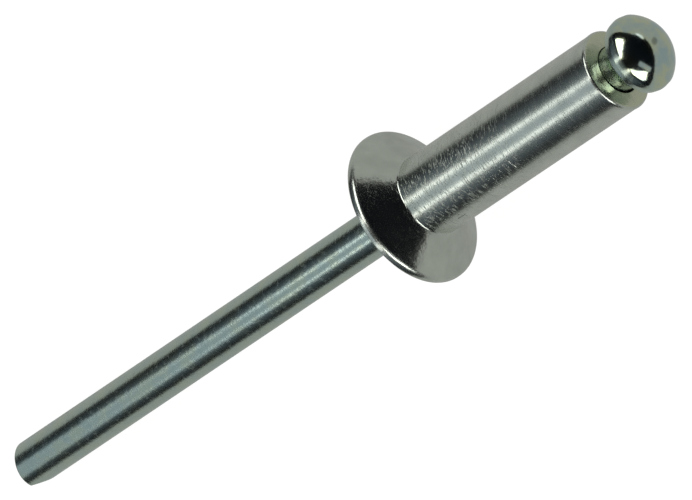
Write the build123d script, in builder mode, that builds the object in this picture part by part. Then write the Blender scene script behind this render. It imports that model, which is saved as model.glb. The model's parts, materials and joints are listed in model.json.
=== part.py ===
# Countersunk pop rivet, not yet set: an aluminium body on a steel mandrel.
# Millimetres. The rivet lies as it comes to rest, on the edge of its flange and on the
# tail of its mandrel. +X runs from the tail to the mandrel's head and +Z is up. The origin
# is on the surface that the rivet lies on, under the middle of its length.
import os
from math import asin, atan2, cos, degrees, hypot, radians, sin, tan

from build123d import *

# Rivet body: a hollow sleeve with a countersunk flange, headed from one piece
sleeve_diameter = 4.0
body_length = 14.5          # over all, from the flange's flat top to the sleeve's open end
flange_diameter = 7.76
flange_rim = 0.35           # straight edge above the cone
countersink_angle = 120.0   # included angle of the cone
bore_diameter = 2.45
grip_length = 1.2           # narrow stretch of the bore, which holds the mandrel
grip_lead_in = 0.3          # taper from the narrow stretch to the bore
bell_length = 0.4           # the open end is belled a little where it was cut off
bell_rise = 0.03

# Mandrel: a headed wire that is pulled out through the flange
stem_diameter = 2.25
tail_length = 27.7          # free stem above the flange, for the riveting tool
tail_slant = 9.0            # the wire is sheared a few degrees out of square
roll_depth = 0.25           # the shear drew the wire's surface in on the long side
roll_angle = 18.0           # that drawn-in facet against the axis
head_diameter = 3.83
head_standoff = 1.25        # from the sleeve's open end to the rim of the mandrel's head
head_band = 0.65            # barrel-shaped band between the rim and the crease
head_rim_diameter = 3.69
crease_diameter = 3.71
dome_height = 1.09
underside_height = 0.72     # cone under the head, from the stem to the rim

# Break neck: the notch where the stem tears off
neck_diameter = 1.75
neck_length = 0.35
neck_inset = 0.8            # from the sleeve's open end back to the neck's near end
neck_taper = 0.75           # each flank, along the axis

# Fits and broken edges
grip_clearance = 0.01       # on the radius, between the stem and the narrow bore
rim_round = 0.1
seat_fillet = 0.14          # where the cone meets the sleeve
mouth_round = 0.08
bore_edge = 0.05
tail_edge = 0.1
neck_blend = 0.2
underside_blend = 0.3

sleeve_radius = sleeve_diameter / 2
flange_radius = flange_diameter / 2
bore_radius = bore_diameter / 2
stem_radius = stem_diameter / 2
grip_radius = stem_radius + grip_clearance
neck_radius = neck_diameter / 2
head_radius = head_diameter / 2
head_rim_radius = head_rim_diameter / 2
crease_radius = crease_diameter / 2

# Stations along the rivet's axis, from the flange's flat top
cone_height = (flange_radius - sleeve_radius) / tan(radians(countersink_angle / 2))
cone_end = flange_rim + cone_height
neck_end = body_length - neck_inset
neck_start = neck_end - neck_length
head_rim = body_length + head_standoff
crease = head_rim + head_band
dome_tip = crease + dome_height

# Resting tilt: the line that touches the flange's rounded top edge and the tail's corner
edge_run = tail_length - tail_edge + rim_round
edge_rise = flange_radius - rim_round - stem_radius
rest_tilt = atan2(edge_rise, edge_run) + asin(rim_round / hypot(edge_run, edge_rise))

# Height of the axis at the flange's flat top, and the ends of the rivet over its length
axis_height = (flange_radius - rim_round) * cos(rest_tilt) + rim_round * (1 - sin(rest_tilt))
slant_run = stem_radius * tan(radians(tail_slant))
tail_lean = hypot(sin(rest_tilt), tan(radians(tail_slant)) * cos(rest_tilt))
tail_reach = -tail_length * cos(rest_tilt) - (stem_radius - tail_edge) * tail_lean
dome_radius = (crease_radius**2 + dome_height**2) / (2 * dome_height)
dome_centre = dome_tip - dome_radius
head_reach = dome_centre * cos(rest_tilt) + dome_radius
middle = (tail_reach + head_reach) / 2

rivet_plane = Plane(
    origin=(-middle, 0, axis_height),
    x_dir=(cos(rest_tilt), 0, sin(rest_tilt)),
    z_dir=(0, -1, 0),
)
rivet_axis = Axis(rivet_plane.origin, rivet_plane.x_dir)


def corner(station, radius):
    """The corner of the open section that lies at this station and radius."""
    return vertices().sort_by_distance((station, radius))[0]


# Rivet body
with BuildPart() as rivet_body:
    with BuildSketch(rivet_plane):
        with BuildLine():
            Polyline(
                (0, grip_radius),
                (0, flange_radius),
                (flange_rim, flange_radius),
                (cone_end, sleeve_radius),
                (body_length - bell_length, sleeve_radius),
                (body_length, sleeve_radius + bell_rise),
                (body_length, bore_radius),
                (grip_length + grip_lead_in, bore_radius),
                (grip_length, grip_radius),
                close=True,
            )
        make_face()
        fillet([corner(0, flange_radius), corner(flange_rim, flange_radius)], rim_round)
        fillet(corner(cone_end, sleeve_radius), seat_fillet)
        fillet(corner(body_length, sleeve_radius + bell_rise), mouth_round)
        chamfer([corner(body_length, bore_radius), corner(0, grip_radius)], bore_edge)
    revolve(axis=rivet_axis)
rivet_body.part.label = "rivet_body"

# Mandrel
with BuildPart() as mandrel:
    with BuildSketch(rivet_plane):
        with BuildLine():
            outline = Polyline(
                (crease, crease_radius),
                (crease - head_band / 2, head_radius),
                (head_rim, head_rim_radius),
                (head_rim - underside_height, stem_radius),
                (neck_end + neck_taper, stem_radius),
                (neck_end, neck_radius),
                (neck_start, neck_radius),
                (neck_start - neck_taper, stem_radius),
                (-tail_length - slant_run, stem_radius),
                (-tail_length - slant_run, 0),
                (dome_tip, 0),
            )
            RadiusArc(outline @ 1, outline @ 0, -dome_radius)
        make_face()
        fillet(corner(crease - head_band / 2, head_radius), head_band / 2)
        fillet(corner(head_rim, head_rim_radius), rim_round)
        fillet(corner(head_rim - underside_height, stem_radius), underside_blend)
        fillet([corner(neck_end, neck_radius), corner(neck_start, neck_radius)], neck_blend)
        fillet(corner(neck_end + neck_taper, stem_radius), neck_blend)
        fillet(corner(neck_start - neck_taper, stem_radius), neck_blend)
    revolve(axis=rivet_axis)
    # The tail's end, sheared out of square and drawn in on its long side
    for angle, side in ((tail_slant, 0), (roll_angle - 90, stem_radius - roll_depth)):
        cut = Plane(
            origin=rivet_plane.from_local_coords((-tail_length, 0, side)),
            x_dir=rivet_plane.y_dir,
            z_dir=rivet_plane.x_dir * cos(radians(angle)) + rivet_plane.z_dir * sin(radians(angle)),
        )
        split(bisect_by=cut, keep=Keep.TOP)
    chamfer(faces().sort_by(rivet_axis)[0].edges(), tail_edge)
mandrel.part.label = "mandrel"

print(f"rest tilt {degrees(rest_tilt):.2f} degrees, axis height at the flange {axis_height:.3f}")

os.makedirs("parts", exist_ok=True)
export_step(rivet_body.part, "parts/rivet_body.step")
export_step(mandrel.part, "parts/mandrel.step")
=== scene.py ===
# A countersunk pop rivet, not yet set, lying on its flange's edge and its mandrel's tail.
# The scene is in metres, the rivet's own sizes are in millimetres.
import json
from math import asin, cos, pi, radians, sin, tan

import bpy
from mathutils import Matrix, Vector


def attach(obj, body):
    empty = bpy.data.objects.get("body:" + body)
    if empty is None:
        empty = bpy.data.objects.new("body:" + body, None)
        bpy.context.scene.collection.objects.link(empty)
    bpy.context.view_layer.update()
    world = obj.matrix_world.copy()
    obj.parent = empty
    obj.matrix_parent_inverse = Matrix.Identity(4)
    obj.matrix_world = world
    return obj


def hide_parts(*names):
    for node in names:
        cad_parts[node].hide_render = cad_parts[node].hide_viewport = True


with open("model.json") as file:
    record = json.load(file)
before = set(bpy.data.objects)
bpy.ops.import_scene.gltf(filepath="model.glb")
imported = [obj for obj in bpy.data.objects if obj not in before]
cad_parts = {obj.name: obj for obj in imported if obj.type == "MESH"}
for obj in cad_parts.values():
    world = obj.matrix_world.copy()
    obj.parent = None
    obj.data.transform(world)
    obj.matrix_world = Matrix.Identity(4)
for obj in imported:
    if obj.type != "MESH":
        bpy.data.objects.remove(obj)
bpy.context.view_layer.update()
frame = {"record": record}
bpy.ops.object.select_all(action="DESELECT")

MM = 0.001

# Rivet body, as in the part's source
SLEEVE_R = 2.0
BODY_LENGTH = 14.5
FLANGE_R = 3.88
FLANGE_RIM = 0.35
CONE_HALF_ANGLE = radians(60)
BORE_R = 1.225
GRIP_R = 1.135
GRIP_LENGTH = 1.2
GRIP_LEAD_IN = 0.3
BELL_LENGTH = 0.4
BELL_RISE = 0.03
RIM_ROUND = 0.1
SEAT_FILLET = 0.14
BORE_EDGE = 0.05

# Rivet body, where it is finer here than in the part's source
CONE_EDGE_ROUND = 0.30
MOUTH_ROUND = 0.16
MOUTH_LIP = 0.035               # the cut drew the bore's edge in a little
MOUTH_LIP_LENGTH = 0.25
MOUTH_LIP_ROUND = 0.03
MOUTH_OFFSET = (-0.028, 0.032)  # and a little to one side

# Mandrel, as in the part's source
STEM_R = 1.125
TAIL_LENGTH = 27.7
TAIL_SLANT = radians(9)
TAIL_EDGE = 0.1
ROLL_DEPTH = 0.25
ROLL_ANGLE = radians(18)
HEAD_STANDOFF = 1.25
HEAD_BAND = 0.65
HEAD_R = 1.915
HEAD_RIM_R = 1.845
CREASE_R = 1.855
DOME_HEIGHT = 1.09
UNDERSIDE_HEIGHT = 0.72
UNDERSIDE_BLEND = 0.3
NECK_R = 0.875
NECK_LENGTH = 0.35
NECK_INSET = 0.8
NECK_TAPER = 0.75
NECK_BLEND = 0.2

# Stations along the axis, from the flange's flat top
CONE_END = FLANGE_RIM + (FLANGE_R - SLEEVE_R) / tan(CONE_HALF_ANGLE)
NECK_END = BODY_LENGTH - NECK_INSET
NECK_START = NECK_END - NECK_LENGTH
HEAD_RIM = BODY_LENGTH + HEAD_STANDOFF
CREASE = HEAD_RIM + HEAD_BAND

# How finely the pieces are drawn
STEPS = 192                 # facets round the axis, fine enough to look round up close
ARC_STEPS = 6               # facets across a rounded edge
DOME_STEPS = 40             # facets from the crease to the dome's tip
SPARE_TAIL = 0.5            # the stem is drawn longer by this, and then cut at a slant
TOUCHING = 0.0005           # points nearer to each other than this are one point
ON_CUT = 0.0001             # points nearer to a cut than this lie on it
SMOOTH_BELOW = radians(40)  # edges less sharp than this are shaded smooth

# The rivet's own frame: Z along the axis to the mandrel's head, X away from the floor
mounts = {mount["name"]: mount for mount in frame["record"]["mounts"]}
axis = Vector(mounts["sleeve"]["axis"])
stem_length = mounts["stem"]["dims"]["length_mm"] * MM
flange_top = Vector(mounts["stem"]["pos_m"]) + axis * stem_length / 2
across = Vector((0, -1, 0))
upward = across.cross(axis)
rivet_frame = Matrix((upward, across, axis)).transposed().to_4x4()
rivet_frame.translation = flange_top


def linear(hex_colour):
    """The linear colour of an sRGB hex value."""
    channels = [int(hex_colour[i:i + 2], 16) / 255 for i in (1, 3, 5)]
    return [c / 12.92 if c <= 0.04045 else ((c + 0.055) / 1.055) ** 2.4 for c in channels] + [1]


def add_node(tree, kind, inputs=None, **settings):
    """Adds a node with its settings. An input is a value, or the output socket it is linked to."""
    node = tree.nodes.new(kind)
    for name, value in settings.items():
        setattr(node, name, value)
    for name, value in (inputs or {}).items():
        if isinstance(value, bpy.types.NodeSocket):
            tree.links.new(value, node.inputs[name])
        else:
            node.inputs[name].default_value = value
    return node


def new_material(name):
    """An empty node material, its tree and its output node."""
    material = bpy.data.materials.new(name)
    material.use_nodes = True
    tree = material.node_tree
    tree.nodes.clear()
    return material, tree, tree.nodes.new("ShaderNodeOutputMaterial")


# Geometry


def rounded(before, corner, after, radius):
    """The points of the arc that rounds a corner of a section between two others."""
    corner = Vector(corner)
    to_before = (Vector(before) - corner).normalized()
    to_after = (Vector(after) - corner).normalized()
    half_angle = to_before.angle(to_after) / 2
    reach = radius / tan(half_angle)
    centre = corner + (to_before + to_after).normalized() * radius / sin(half_angle)
    start = corner + to_before * reach - centre
    end = corner + to_after * reach - centre
    turn = start.angle(end)
    points = []
    for step in range(ARC_STEPS + 1):
        share = step / ARC_STEPS
        point = (start * sin((1 - share) * turn) + end * sin(share * turn)) / sin(turn)
        points.append(centre + point)
    return points


def section(corners, closed):
    """The points of a section. Each corner is its station, its radius and its rounding."""
    points = []
    count = len(corners)
    for index, (station, radius, rounding) in enumerate(corners):
        if rounding:
            before = corners[(index - 1) % count][:2]
            after = corners[(index + 1) % count][:2]
            points += rounded(before, (station, radius), after, rounding)
        else:
            points.append(Vector((station, radius)))
    if closed:
        points.append(points[0])
    return points


def turn_piece(name, points):
    """Draws half a section point by point and spins it round Z."""
    bpy.ops.mesh.primitive_plane_add(size=MM)
    piece = bpy.context.object
    piece.name = name
    piece.data.name = name
    bpy.ops.object.mode_set(mode="EDIT")
    bpy.ops.mesh.merge(type="CENTER")
    bpy.ops.transform.translate(value=(points[0].y * MM, 0, points[0].x * MM))
    for start, end in zip(points, points[1:]):
        step = ((end.y - start.y) * MM, 0, (end.x - start.x) * MM)
        bpy.ops.mesh.extrude_region_move(TRANSFORM_OT_translate={"value": step})
    bpy.ops.mesh.select_all(action="SELECT")
    bpy.ops.mesh.spin(steps=STEPS, angle=2 * pi, center=(0, 0, 0), axis=(0, 0, 1))
    bpy.ops.mesh.select_all(action="SELECT")
    bpy.ops.mesh.remove_doubles(threshold=TOUCHING * MM)
    bpy.ops.mesh.normals_make_consistent(inside=False)
    bpy.ops.mesh.select_all(action="DESELECT")
    bpy.ops.object.mode_set(mode="OBJECT")
    return piece


def finish_piece(piece, node, material):
    """Lays a piece on the rivet's axis, shades it and puts it in the place of its node."""
    piece.data.transform(rivet_frame)
    bpy.ops.object.select_all(action="DESELECT")
    piece.select_set(True)
    bpy.context.view_layer.objects.active = piece
    bpy.ops.object.shade_smooth_by_angle(angle=SMOOTH_BELOW)
    piece.data.materials.append(material)
    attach(piece, "root")
    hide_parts(node)


def make_rivet_body():
    """The hollow sleeve and its countersunk flange, headed from one piece."""
    corners = [
        (GRIP_LENGTH, GRIP_R, 0),
        (0, GRIP_R, BORE_EDGE),
        (0, FLANGE_R, RIM_ROUND),
        (FLANGE_RIM, FLANGE_R, CONE_EDGE_ROUND),
        (CONE_END, SLEEVE_R, SEAT_FILLET),
        (BODY_LENGTH - BELL_LENGTH, SLEEVE_R, 0),
        (BODY_LENGTH, SLEEVE_R + BELL_RISE, MOUTH_ROUND),
        (BODY_LENGTH, BORE_R - MOUTH_LIP, MOUTH_LIP_ROUND),
        (BODY_LENGTH - MOUTH_LIP_LENGTH, BORE_R, 0),
        (GRIP_LENGTH + GRIP_LEAD_IN, BORE_R, 0),
    ]
    piece = turn_piece("rivet_body_turned", section(corners, closed=True))
    # The bore's edge at the open end lies a little to one side
    for vertex in piece.data.vertices:
        place = vertex.co / MM
        at_mouth = place.z > BODY_LENGTH - MOUTH_LIP_LENGTH / 2
        vertex.select = at_mouth and place.xy.length < BORE_R
    bpy.ops.object.mode_set(mode="EDIT")
    bpy.ops.mesh.select_mode(type="VERT")
    bpy.ops.transform.translate(value=(MOUTH_OFFSET[0] * MM, MOUTH_OFFSET[1] * MM, 0))
    bpy.ops.object.mode_set(mode="OBJECT")
    return piece


def make_mandrel():
    """The stem with its break neck and its domed head, headed from wire."""
    corners = [
        (-TAIL_LENGTH - SPARE_TAIL, STEM_R, 0),
        (NECK_START - NECK_TAPER, STEM_R, NECK_BLEND),
        (NECK_START, NECK_R, NECK_BLEND),
        (NECK_END, NECK_R, NECK_BLEND),
        (NECK_END + NECK_TAPER, STEM_R, NECK_BLEND),
        (HEAD_RIM - UNDERSIDE_HEIGHT, STEM_R, UNDERSIDE_BLEND),
        (HEAD_RIM, HEAD_RIM_R, RIM_ROUND),
        (HEAD_RIM + HEAD_BAND / 2, HEAD_R, HEAD_BAND / 2),
        (CREASE, CREASE_R, 0),
    ]
    points = section(corners, closed=False)
    dome_radius = (CREASE_R ** 2 + DOME_HEIGHT ** 2) / (2 * DOME_HEIGHT)
    dome_centre = CREASE + DOME_HEIGHT - dome_radius
    opening = asin(CREASE_R / dome_radius)
    for step in range(1, DOME_STEPS + 1):
        angle = opening * (1 - step / DOME_STEPS)
        points.append(Vector((dome_centre + dome_radius * cos(angle), dome_radius * sin(angle))))
    piece = turn_piece("mandrel_turned", points)
    # The tail is sheared out of square and the cut's edge is broken
    bpy.ops.object.mode_set(mode="EDIT")
    bpy.ops.mesh.select_all(action="SELECT")
    bpy.ops.mesh.bisect(
        plane_co=(0, 0, -TAIL_LENGTH * MM),
        plane_no=(0, sin(TAIL_SLANT), cos(TAIL_SLANT)),
        use_fill=True,
        clear_inner=True,
        threshold=ON_CUT * MM,
    )
    bpy.ops.mesh.bevel(offset=TAIL_EDGE * MM, segments=4, affect="EDGES")
    # Its long side is drawn in, and that facet keeps its edge
    bpy.ops.mesh.select_all(action="SELECT")
    bpy.ops.mesh.bisect(
        plane_co=(0, (STEM_R - ROLL_DEPTH) * MM, -TAIL_LENGTH * MM),
        plane_no=(0, -cos(ROLL_ANGLE), sin(ROLL_ANGLE)),
        use_fill=True,
        clear_inner=True,
        threshold=ON_CUT * MM,
    )
    bpy.ops.mesh.region_to_loop()
    bpy.ops.mesh.mark_sharp()
    bpy.ops.mesh.select_all(action="DESELECT")
    bpy.ops.object.mode_set(mode="OBJECT")
    return piece


# Materials


def rivet_coordinates(tree):
    """A point's place in the rivet's own frame, in millimetres, and its station on the axis."""
    place = add_node(tree, "ShaderNodeTexCoord")
    own = add_node(tree, "ShaderNodeMapping", {
        "Vector": place.outputs["Object"],
        "Location": rivet_frame.translation,
        "Rotation": rivet_frame.to_euler(),
        "Scale": (MM, MM, MM),
    }, vector_type="TEXTURE").outputs["Vector"]
    return own, add_node(tree, "ShaderNodeSeparateXYZ", {"Vector": own}).outputs["Z"]


def marks(tree, own, places):
    """A mask of single oval marks. Each is a centre, a turn and a size in the rivet's frame."""
    mask = None
    for centre, turn, size in places:
        inside = add_node(tree, "ShaderNodeMapping", {
            "Vector": own, "Location": centre, "Rotation": turn, "Scale": size},
            vector_type="TEXTURE")
        away = add_node(tree, "ShaderNodeVectorMath", {0: inside.outputs[0]}, operation="LENGTH")
        mark = add_node(tree, "ShaderNodeMapRange", {
            "Value": away.outputs["Value"],
            "From Min": 0.3, "From Max": 1, "To Min": 1, "To Max": 0},
            interpolation_type="SMOOTHSTEP").outputs[0]
        if mask is not None:
            mark = add_node(tree, "ShaderNodeMath", {0: mask, 1: mark},
                            operation="MAXIMUM").outputs[0]
        mask = mark
    return mask


def aluminium():
    """Bright drawn aluminium, a slightly green grey.

    The eye sees soft-edged reflections, broken up by short fine scratches that run round the
    sleeve. They are dense from the flange to the middle and faint near the open end. The cone and
    the cut face of the open end are a little uneven. The cut face is also painted yellower, as a
    painted reflection of the zinc head's underside.
    """
    material, tree, output = new_material("bright_drawn_aluminium")
    own, station = rivet_coordinates(tree)
    cut_face = add_node(tree, "ShaderNodeMath", {0: station, 1: BODY_LENGTH - 0.015},
                        operation="GREATER_THAN")
    # Short strokes round the sleeve, half a millimetre long and some hundredths wide, in two
    # kinds, each with its own turn and size
    stroke_kinds = (
        ((0.10, 0, 0), (0.45, 0.45, 0.045)),
        ((-0.16, 0.05, 0), (0.50, 0.50, 0.07)),
    )
    strokes = []
    for turn, size in stroke_kinds:
        stroke_place = add_node(tree, "ShaderNodeMapping", {
            "Vector": own, "Rotation": turn, "Scale": size}, vector_type="TEXTURE")
        stroke = add_node(tree, "ShaderNodeTexNoise", {
            "Vector": stroke_place.outputs[0], "Scale": 1, "Detail": 2, "Roughness": 0.6})
        strokes.append(stroke.outputs[0])
    deepest = add_node(tree, "ShaderNodeMath", {0: strokes[0], 1: strokes[1]}, operation="MAXIMUM")
    scratch = add_node(tree, "ShaderNodeMapRange", {
        "Value": deepest.outputs[0], "From Min": 0.57, "From Max": 0.74},
        interpolation_type="SMOOTHSTEP")
    # They fade past the sleeve's middle, and the cone has few
    worn = add_node(tree, "ShaderNodeMapRange", {
        "Value": station, "From Min": 6, "From Max": 9.5, "To Min": 1, "To Max": 0.3},
        interpolation_type="SMOOTHSTEP")
    on_sleeve = add_node(tree, "ShaderNodeMapRange", {
        "Value": station, "From Min": 1.2, "From Max": 1.7, "To Min": 0.15, "To Max": 1})
    dense = add_node(tree, "ShaderNodeMath", {0: worn.outputs[0], 1: on_sleeve.outputs[0]},
                     operation="MULTIPLY")
    scratched = add_node(tree, "ShaderNodeMath", {0: scratch.outputs[0], 1: dense.outputs[0]},
                         operation="MULTIPLY")
    # The cone has the best polish, and the flange's rim and the scratches are duller
    polish = add_node(tree, "ShaderNodeMapRange", {
        "Value": station, "From Min": 1.3, "From Max": 1.7, "To Min": 0.16, "To Max": 0.25})
    off_axis = add_node(tree, "ShaderNodeVectorMath", {0: own, 1: (1, 1, 0)}, operation="MULTIPLY")
    radius = add_node(tree, "ShaderNodeVectorMath", {0: off_axis.outputs[0]}, operation="LENGTH")
    rim = add_node(tree, "ShaderNodeMapRange", {
        "Value": radius.outputs["Value"],
        "From Min": FLANGE_R - 0.18, "From Max": FLANGE_R - 0.08, "To Max": 0.08})
    rolled = add_node(tree, "ShaderNodeMath", {0: polish.outputs[0], 1: rim.outputs[0]},
                      operation="ADD")
    dullness = add_node(tree, "ShaderNodeMath", {
        0: scratched.outputs[0], 1: 0.28, 2: rolled.outputs[0]}, operation="MULTIPLY_ADD")
    # Uneven forming, most of all on the cone and the cut face, and the nicks of handling
    waves = add_node(tree, "ShaderNodeTexNoise", {
        "Vector": own, "Scale": 1.3, "Detail": 3, "Roughness": 0.55})
    wavy = add_node(tree, "ShaderNodeMapRange", {
        "Value": station, "From Min": 1.3, "From Max": 1.8, "To Min": 1, "To Max": 0.25})
    uneven = add_node(tree, "ShaderNodeMath", {0: wavy.outputs[0], 1: cut_face.outputs[0]},
                      operation="ADD")
    wave = add_node(tree, "ShaderNodeMath", {0: waves.outputs[0], 1: uneven.outputs[0]},
                    operation="MULTIPLY")
    nicks = marks(tree, own, (
        ((1.18, 1.61, 3.18), (0, 0, 0.87), (0.20, 0.08, 0.36)),
        ((1.75, 0.93, 7.78), (0, 0, 0.48), (0.20, 0.34, 0.035)),
        ((1.40, 1.45, 0.95), (0, 0, 0.80), (0.35, 0.10, 0.12)),
    ))
    grain = add_node(tree, "ShaderNodeMath", {
        0: scratched.outputs[0], 1: 0.36, 2: wave.outputs[0]}, operation="MULTIPLY_ADD")
    height = add_node(tree, "ShaderNodeMath", {0: nicks, 1: -1.2, 2: grain.outputs[0]},
                      operation="MULTIPLY_ADD")
    bump = add_node(tree, "ShaderNodeBump", {
        "Height": height.outputs[0], "Strength": 1, "Distance": 0.02 * MM})
    # Slightly darker clouds of the drawn surface, and the cut face painted yellower,
    # a painted reflection of the zinc head's underside
    clouds = add_node(tree, "ShaderNodeTexNoise", {"Vector": own, "Scale": 1.1, "Detail": 4})
    drawn = add_node(tree, "ShaderNodeMix", {
        "Factor": clouds.outputs[0], 6: linear("#AFB6AB"), 7: linear("#D6DCD1")},
        data_type="RGBA")
    colour = add_node(tree, "ShaderNodeMix", {
        "Factor": cut_face.outputs[0], 6: drawn.outputs[2], 7: linear("#C5CBB2")},
        data_type="RGBA")
    metal = add_node(tree, "ShaderNodeBsdfPrincipled", {
        "Base Color": colour.outputs[2], "Metallic": 1, "Roughness": dullness.outputs[0],
        "Normal": bump.outputs[0]})
    tree.links.new(metal.outputs["BSDF"], output.inputs["Surface"])
    return material


def zinc_plate():
    """Bright zinc plate on steel, a green grey with yellowish and bluish patches.

    The eye sees sharp reflections on the dome. The rest of the wire is duller, with drawing lines
    along it, small specks, and ripples that break up the edges of its reflections.
    """
    material, tree, output = new_material("bright_zinc_plate")
    own, station = rivet_coordinates(tree)
    on_dome = add_node(tree, "ShaderNodeMapRange", {
        "Value": station, "From Min": CREASE - 0.15, "From Max": CREASE},
        interpolation_type="SMOOTHSTEP")
    on_wire = add_node(tree, "ShaderNodeMath", {0: 1, 1: on_dome.outputs[0]}, operation="SUBTRACT")
    # Drawing lines, 1.6 mm long and 0.07 mm wide, and specks of 0.2 mm
    line_place = add_node(tree, "ShaderNodeMapping", {
        "Vector": own, "Scale": (0.07, 0.07, 1.6)}, vector_type="TEXTURE")
    lines = add_node(tree, "ShaderNodeTexNoise", {
        "Vector": line_place.outputs[0], "Scale": 1, "Detail": 2, "Roughness": 0.6})
    clusters = add_node(tree, "ShaderNodeTexNoise", {
        "Vector": own, "Scale": 4.5, "Detail": 2, "Roughness": 0.55})
    specks = add_node(tree, "ShaderNodeMapRange", {
        "Value": clusters.outputs[0], "From Min": 0.54, "From Max": 0.68},
        interpolation_type="SMOOTHSTEP")
    drawn = add_node(tree, "ShaderNodeMath", {
        0: lines.outputs[0], 1: 0.35, 2: specks.outputs[0]}, operation="MULTIPLY_ADD")
    wire_marks = add_node(tree, "ShaderNodeMath", {0: drawn.outputs[0], 1: on_wire.outputs[0]},
                          operation="MULTIPLY")
    polish = add_node(tree, "ShaderNodeMapRange", {
        "Value": on_dome.outputs[0], "To Min": 0.21, "To Max": 0.12})
    dullness = add_node(tree, "ShaderNodeMath", {
        0: wire_marks.outputs[0], 1: 0.10, 2: polish.outputs[0]}, operation="MULTIPLY_ADD")
    # Ripples across the wire, a tenth of a millimetre long, and longer waves everywhere
    ripple_place = add_node(tree, "ShaderNodeMapping", {
        "Vector": own, "Scale": (0.25, 0.25, 0.11)}, vector_type="TEXTURE")
    ripples = add_node(tree, "ShaderNodeTexNoise", {
        "Vector": ripple_place.outputs[0], "Scale": 1, "Detail": 1})
    ripple = add_node(tree, "ShaderNodeMath", {0: ripples.outputs[0], 1: on_wire.outputs[0]},
                      operation="MULTIPLY")
    waves = add_node(tree, "ShaderNodeTexNoise", {
        "Vector": own, "Scale": 1.7, "Detail": 3, "Roughness": 0.5})
    height = add_node(tree, "ShaderNodeMath", {
        0: ripple.outputs[0], 1: 0.45, 2: waves.outputs[0]}, operation="MULTIPLY_ADD")
    bump = add_node(tree, "ShaderNodeBump", {
        "Height": height.outputs[0], "Strength": 1, "Distance": 0.009 * MM})
    # Bluish and yellowish patches of the passivated plate, which are fainter on the wire
    plain_plate = linear("#B3C2B7")
    clouds = add_node(tree, "ShaderNodeTexNoise", {"Vector": own, "Scale": 1.3, "Detail": 3})
    patches = add_node(tree, "ShaderNodeValToRGB", {"Fac": clouds.outputs[0]})
    stops = patches.color_ramp.elements
    stops[0].position = 0.36
    stops[0].color = linear("#A6BCBA")
    stops[1].position = 0.62
    stops[1].color = linear("#C0C9AC")
    middle = stops.new(0.50)
    middle.color = plain_plate
    fainter = add_node(tree, "ShaderNodeMath", {0: on_wire.outputs[0], 1: 0.65},
                       operation="MULTIPLY")
    plate = add_node(tree, "ShaderNodeMix", {
        "Factor": fainter.outputs[0], 6: patches.outputs[0], 7: plain_plate}, data_type="RGBA")
    # One dark spot on the dome
    spot = marks(tree, own, (((0.35, -0.11, 17.46), (0, 0, 0.5), (0.32, 0.22, 0.3)),))
    dark_spot_share = add_node(tree, "ShaderNodeMath", {0: spot, 1: 0.6}, operation="MULTIPLY")
    colour = add_node(tree, "ShaderNodeMix", {
        "Factor": dark_spot_share.outputs[0], 6: plate.outputs[2], 7: linear("#5A6058")}, data_type="RGBA")
    metal = add_node(tree, "ShaderNodeBsdfPrincipled", {
        "Base Color": colour.outputs[2], "Metallic": 1, "Roughness": dullness.outputs[0],
        "Normal": bump.outputs[0]})
    tree.links.new(metal.outputs["BSDF"], output.inputs["Surface"])
    return material


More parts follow.
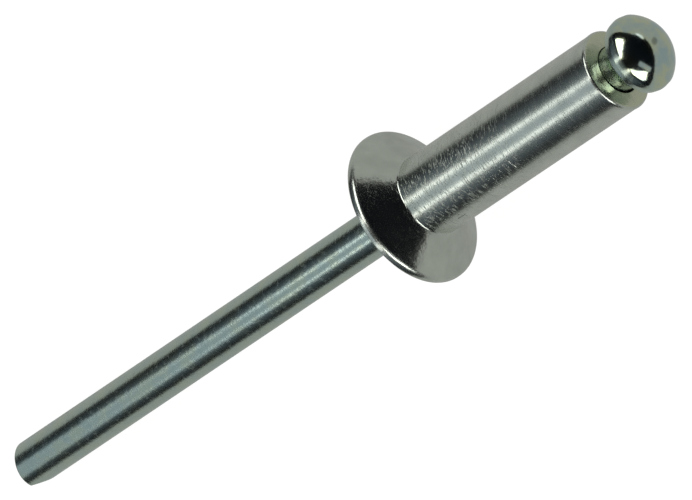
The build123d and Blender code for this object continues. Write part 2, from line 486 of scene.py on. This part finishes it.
def pale_floor():
    """Pale matt paper. It is white where the camera sees it, apart from the rivet's shadow.

    The metal mirrors it as an even light grey, up to two edges that meet in a corner ahead of the
    rivet. Past them the mirrored floor is painted dark, and one painted bright strip lies on that
    dark: both are painted reflections, seen only by mirrored rays.
    """
    camera_glow = 0.90      # with the lamps' light on the paper, this is white
    mirrored_glow = 0.30
    painted_strip_glow = 1.3
    material, tree, output = new_material("pale_matt_paper")
    ray = add_node(tree, "ShaderNodeLightPath")
    place = add_node(tree, "ShaderNodeTexCoord")
    # The edges of the painted dark reflection run at 45 degrees to the rivet. All places on the
    # floor are in metres
    turned = add_node(tree, "ShaderNodeMapping", {
        "Vector": place.outputs["Object"], "Location": (0.031, 0.031, 0),
        "Rotation": (0, 0, pi / 4)}, vector_type="TEXTURE")
    turned_parts = add_node(tree, "ShaderNodeSeparateXYZ", {"Vector": turned.outputs[0]})
    past_one_edge = add_node(tree, "ShaderNodeMapRange", {
        "Value": turned_parts.outputs["X"], "From Min": -0.002, "From Max": 0.003})
    past_other_edge = add_node(tree, "ShaderNodeMapRange", {
        "Value": turned_parts.outputs["Y"], "From Min": -0.022, "From Max": -0.026})
    beyond = add_node(tree, "ShaderNodeMath", {
        0: past_one_edge.outputs[0], 1: past_other_edge.outputs[0]}, operation="MULTIPLY")
    # Mirrored rays see the floor glow an even light grey, and see painted dark past both edges
    mirrored_grey_and_painted_dark = add_node(tree, "ShaderNodeMapRange", {
        "Value": beyond.outputs[0], "To Min": mirrored_glow, "To Max": 0})
    # For mirrored rays only, the paper's colour is also painted near black past both edges
    dark = add_node(tree, "ShaderNodeMath", {
        0: beyond.outputs[0], 1: ray.outputs["Is Glossy Ray"]}, operation="MULTIPLY")
    shade = add_node(tree, "ShaderNodeMix", {
        "Factor": dark.outputs[0], 6: linear("#6E6F6D"), 7: linear("#0A0B0D")}, data_type="RGBA")
    paper = add_node(tree, "ShaderNodeBsdfDiffuse", {"Color": shade.outputs[2]})
    # The painted reflection of a bright strip, for mirrored rays only, an oval of 68 by 22 mm
    painted_strip_place = add_node(tree, "ShaderNodeMapping", {
        "Vector": place.outputs["Object"], "Location": (0.074, 0.032, 0),
        "Rotation": (0, 0, 0.54), "Scale": (0.034, 0.011, 1)}, vector_type="TEXTURE")
    away = add_node(tree, "ShaderNodeVectorMath", {0: painted_strip_place.outputs[0]}, operation="LENGTH")
    strip = add_node(tree, "ShaderNodeMapRange", {
        "Value": away.outputs["Value"],
        "From Min": 0.7, "From Max": 1, "To Min": painted_strip_glow, "To Max": 0})
    lit = add_node(tree, "ShaderNodeMath", {0: mirrored_grey_and_painted_dark.outputs[0], 1: strip.outputs[0]},
                   operation="ADD")
    mirrored = add_node(tree, "ShaderNodeMath", {
        0: ray.outputs["Is Glossy Ray"], 1: lit.outputs[0]}, operation="MULTIPLY")
    lift = add_node(tree, "ShaderNodeMath", {
        0: ray.outputs["Is Camera Ray"], 1: camera_glow, 2: mirrored.outputs[0]},
        operation="MULTIPLY_ADD")
    glow = add_node(tree, "ShaderNodeEmission", {"Strength": lift.outputs[0]})
    both = add_node(tree, "ShaderNodeAddShader", {0: paper.outputs[0], 1: glow.outputs[0]})
    tree.links.new(both.outputs[0], output.inputs["Surface"])
    return material


# The scene round the rivet


def make_floor():
    """A floor, far wider than the view, plain to the camera and with painted reflections for the
    metal.
    """
    bpy.ops.mesh.primitive_plane_add(size=8)
    floor = bpy.context.object
    floor.name = "floor"
    floor.data.materials.append(pale_floor())


def make_world():
    """White to the camera, a soft grey fill, and a dark room where the metal mirrors it.

    The mirrored room is nearly black ahead of the rivet. Behind it, it is dark near the floor and
    a dim blue grey overhead.
    """
    white = (1, 1, 1, 1)
    fill_strength = 0.45
    world = bpy.data.worlds.new("studio")
    bpy.context.scene.world = world
    world.use_nodes = True
    tree = world.node_tree
    tree.nodes.clear()
    output = tree.nodes.new("ShaderNodeOutputWorld")
    ray = add_node(tree, "ShaderNodeLightPath")
    fill = add_node(tree, "ShaderNodeBackground", {"Color": white, "Strength": fill_strength})
    way = add_node(tree, "ShaderNodeTexCoord")
    way_parts = add_node(tree, "ShaderNodeSeparateXYZ", {"Vector": way.outputs["Generated"]})
    ahead = add_node(tree, "ShaderNodeMapRange", {
        "Value": way_parts.outputs["X"], "From Min": -0.55, "From Max": 0.15})
    overhead = add_node(tree, "ShaderNodeMapRange", {
        "Value": way_parts.outputs["Z"], "From Min": 0.25, "From Max": 0.60})
    behind = add_node(tree, "ShaderNodeMix", {
        "Factor": overhead.outputs[0], 6: linear("#12171B"), 7: linear("#5E6772")},
        data_type="RGBA")
    shade = add_node(tree, "ShaderNodeMix", {
        "Factor": ahead.outputs[0], 6: behind.outputs[2], 7: linear("#06080F")}, data_type="RGBA")
    room = add_node(tree, "ShaderNodeBackground", {"Color": shade.outputs[2], "Strength": 1})
    backdrop = add_node(tree, "ShaderNodeBackground", {"Color": white, "Strength": 1})
    mirrored = add_node(tree, "ShaderNodeMixShader", {
        0: ray.outputs["Is Glossy Ray"], 1: fill.outputs[0], 2: room.outputs[0]})
    seen = add_node(tree, "ShaderNodeMixShader", {
        0: ray.outputs["Is Camera Ray"], 1: mirrored.outputs[0], 2: backdrop.outputs[0]})
    tree.links.new(seen.outputs[0], output.inputs["Surface"])


def add_softbox(name, centre, size, along, brightness, colour="#FFFFFF"):
    """A flat lamp at a place in the rivet's frame, in metres, that faces the rivet.

    size is its length along the given direction and its width across that.
    """
    lamp = bpy.data.lights.new(name, "AREA")
    lamp.shape = "RECTANGLE"
    lamp.size, lamp.size_y = size
    lamp.energy = brightness * pi * size[0] * size[1]
    lamp.color = linear(colour)[:3]
    softbox = bpy.data.objects.new(name, lamp)
    bpy.context.scene.collection.objects.link(softbox)
    turn = rivet_frame.to_3x3()
    place = rivet_frame @ Vector(centre)
    facing = (place - flange_top).normalized()
    length = turn @ Vector(along)
    length = (length - facing * length.dot(facing)).normalized()
    width = facing.cross(length)
    softbox.matrix_world = Matrix((length, width, facing)).transposed().to_4x4()
    softbox.location = place
    softbox.visible_camera = False


def make_lamps():
    """Two long strips overhead with a grey panel behind them, and softboxes at the sides.

    The sleeve and the stem mirror the strips and the panel, and the dome mirrors the boxes.
    """
    along_rivet = (0, 0, 1)
    warm = "#FFFBF8"
    cool = "#ECF7FF"
    add_softbox("strip_left", (0.30, -0.108, -0.06), (0.40, 0.045), along_rivet, 2.05, warm)
    add_softbox("strip_right", (0.30, 0.108, -0.06), (0.40, 0.045), along_rivet, 2.05, warm)
    add_softbox("grey_panel", (0.33, 0, -0.30), (0.50, 0.36), along_rivet, 0.375, cool)
    add_softbox("side_box_left", (0.254, -0.255, 0.151), (0.35, 0.15), (0.82, 0.565, -0.092), 3.4)
    add_softbox("side_box_right", (0.249, 0.28, 0.182), (0.33, 0.16), (0.755, -0.584, -0.299), 3.4)
    add_softbox("dim_box_right", (0.141, 0.221, 0.316), (0.25, 0.075), (0.743, -0.622, 0.246), 0.5)


def make_camera():
    """The photograph's camera: a long lens, from above and ahead of the mandrel's head."""
    picture = (692, 500)                # pixels
    rim_in_picture = (415.0, 205.3)     # where the axis passes the cone's side of the flange rim
    axis_in_picture = radians(34.0)     # the axis climbs to the right
    axis_to_view = radians(51.8)        # between the axis and the way to the camera
    lens_in_pixels = 14244
    distance = 0.6623
    up = rivet_frame.to_3x3() @ Vector((1, 0, 0))
    to_camera = axis * cos(axis_to_view) + up * sin(axis_to_view)
    axis_seen = axis * sin(axis_to_view) - up * cos(axis_to_view)
    right = axis_seen * cos(axis_in_picture) + across * sin(axis_in_picture)
    above = axis_seen * sin(axis_in_picture) - across * cos(axis_in_picture)
    pixel = distance / lens_in_pixels
    off_right = (rim_in_picture[0] - picture[0] / 2) * pixel
    off_up = (picture[1] / 2 - rim_in_picture[1]) * pixel
    place = flange_top + axis * FLANGE_RIM * MM + to_camera * distance
    place -= right * off_right + above * off_up
    lens = bpy.data.cameras.new("camera")
    lens.sensor_width = 36
    lens.lens = lens_in_pixels / picture[0] * lens.sensor_width
    camera = bpy.data.objects.new("camera", lens)
    camera.matrix_world = Matrix((right, above, to_camera)).transposed().to_4x4()
    camera.location = place
    bpy.context.scene.collection.objects.link(camera)
    bpy.context.scene.camera = camera


finish_piece(make_rivet_body(), "rivet_body", aluminium())
finish_piece(make_mandrel(), "mandrel", zinc_plate())
make_floor()
make_world()
make_lamps()
make_camera()
bpy.context.scene.view_settings.view_transform = "Standard"
